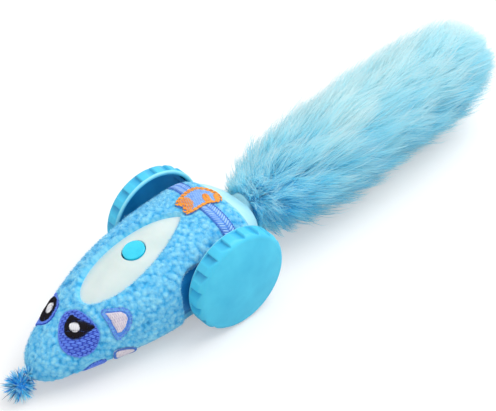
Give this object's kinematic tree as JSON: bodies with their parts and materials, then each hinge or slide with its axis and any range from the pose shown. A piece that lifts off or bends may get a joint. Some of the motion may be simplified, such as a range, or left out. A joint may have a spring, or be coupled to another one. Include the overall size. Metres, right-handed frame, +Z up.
{
  "type": "robotic mouse cat toy",
  "caption": "Two-wheeled robotic mouse cat toy with a fleece-covered body, light window, push button, tinsel nose and furry tail.",
  "frame": {"origin": "on the floor under the middle of the whole toy's outline, which is 50.6 mm behind the wheel axles' line", "axes": "+Z up, the nose points to -Y and the tail to +Y, the mouse's left side is +X"},
  "size_m": [0.0732, 0.3128, 0.0561],
  "materials": {
    "black": "matte",
    "board": "satin",
    "brass": "satin",
    "bush": "matte",
    "button": "gloss",
    "cell": "satin",
    "ear": "satin",
    "fish": "satin",
    "fleece": "matte",
    "frame": "matte",
    "fur": "matte",
    "gear": "matte",
    "gear_dark": "matte",
    "hub": "matte",
    "lens": "gloss",
    "motor": "satin",
    "rubber": "matte",
    "shell": "satin",
    "steel": "satin",
    "thread": "satin",
    "tinsel": "gloss",
    "tyre": "matte",
    "white": "matte",
    "window": "satin"
  },
  "bodies": {
    "body": {"axle_bush_left": "bush", "axle_bush_right": "bush", "battery_cell": "cell", "belt_ribbon": "thread", "case_screw_1": "steel", "case_screw_2": "steel", "case_screw_3": "steel", "case_screw_4": "steel", "charge_board": "board", "charge_socket": "steel", "ear_patch_left": "ear", "ear_patch_right": "ear", "eye_patch_left": "thread", "eye_patch_right": "thread", "fish_patch": "fish", "fleece_cover": "fleece", "frame_screw_1": "steel", "frame_screw_2": "steel", "gear_cover_left": "frame", "gear_cover_right": "frame", "gear_frame": "frame", "idler_pin_left": "steel", "idler_pin_right": "steel", "led_1": "lens", "led_2": "lens", "led_3": "lens", "light_window": "window", "lower_shell": "shell", "main_board": "board", "motor_left": "motor", "motor_right": "motor", "nose_pin": "white", "nose_tinsel": "tinsel", "rear_cap": "shell", "switch_body": "black", "tail_grommet": "rubber", "upper_shell": "shell"},
    "wheel_left": {"tyre_left": "tyre", "wheel_hub_left": "hub", "axle_left": "steel", "wheel_gear_left": "gear"},
    "wheel_right": {"tyre_right": "tyre", "wheel_hub_right": "hub", "axle_right": "steel", "wheel_gear_right": "gear"},
    "idler_left": {"idler_gear_left": "gear_dark"},
    "idler_right": {"idler_gear_right": "gear_dark"},
    "motor_rotor_left": {"motor_pinion_left": "brass", "motor_shaft_left": "steel"},
    "motor_rotor_right": {"motor_pinion_right": "brass", "motor_shaft_right": "steel"},
    "button": {"button_cap": "button", "switch_plunger": "black"},
    "tail": {"tail_wire": "steel", "tail_collar": "white", "tail_fur": "fur"}
  },
  "joints": [
    {"name": "wheel_left_spin", "type": "hinge", "parent": "body", "child": "wheel_left", "pos_m": [0.0316, -0.05061, 0.025], "axis": [1, 0, 0], "continuous": true},
    {"name": "wheel_right_spin", "type": "hinge", "parent": "body", "child": "wheel_right", "pos_m": [-0.0316, -0.05061, 0.025], "axis": [1, 0, 0], "continuous": true},
    {"name": "idler_left_spin", "type": "hinge", "parent": "body", "child": "idler_left", "pos_m": [0.0134, -0.06061, 0.025], "axis": [1, 0, 0], "continuous": true},
    {"name": "idler_right_spin", "type": "hinge", "parent": "body", "child": "idler_right", "pos_m": [-0.0134, -0.06061, 0.025], "axis": [1, 0, 0], "continuous": true},
    {"name": "motor_left_spin", "type": "hinge", "parent": "body", "child": "motor_rotor_left", "pos_m": [0.0116, -0.06704, 0.01734], "axis": [1, 0, 0], "continuous": true},
    {"name": "motor_right_spin", "type": "hinge", "parent": "body", "child": "motor_rotor_right", "pos_m": [-0.0116, -0.06704, 0.03266], "axis": [1, 0, 0], "continuous": true},
    {"name": "button_press", "type": "slide", "parent": "body", "child": "button", "axis": [0, 0.2122, -0.9772], "range_m": [0, 0.0008], "stiffness_N_per_m": 60, "springref_m": -0.004},
    {"name": "tail_swing", "type": "hinge", "parent": "body", "child": "tail", "pos_m": [0, -0.01761, 0.03], "axis": [0, 0, 1], "range_deg": [-25, 25], "stiffness_Nm_per_rad": 0.02}
  ],
  "couplings": [
    {"joint": "idler_left_spin", "follows": "wheel_left_spin", "ratio": -2.3333},
    {"joint": "motor_left_spin", "follows": "wheel_left_spin", "ratio": 5.4444},
    {"joint": "idler_right_spin", "follows": "wheel_right_spin", "ratio": -2.3333},
    {"joint": "motor_right_spin", "follows": "wheel_right_spin", "ratio": 5.4444}
  ]
}
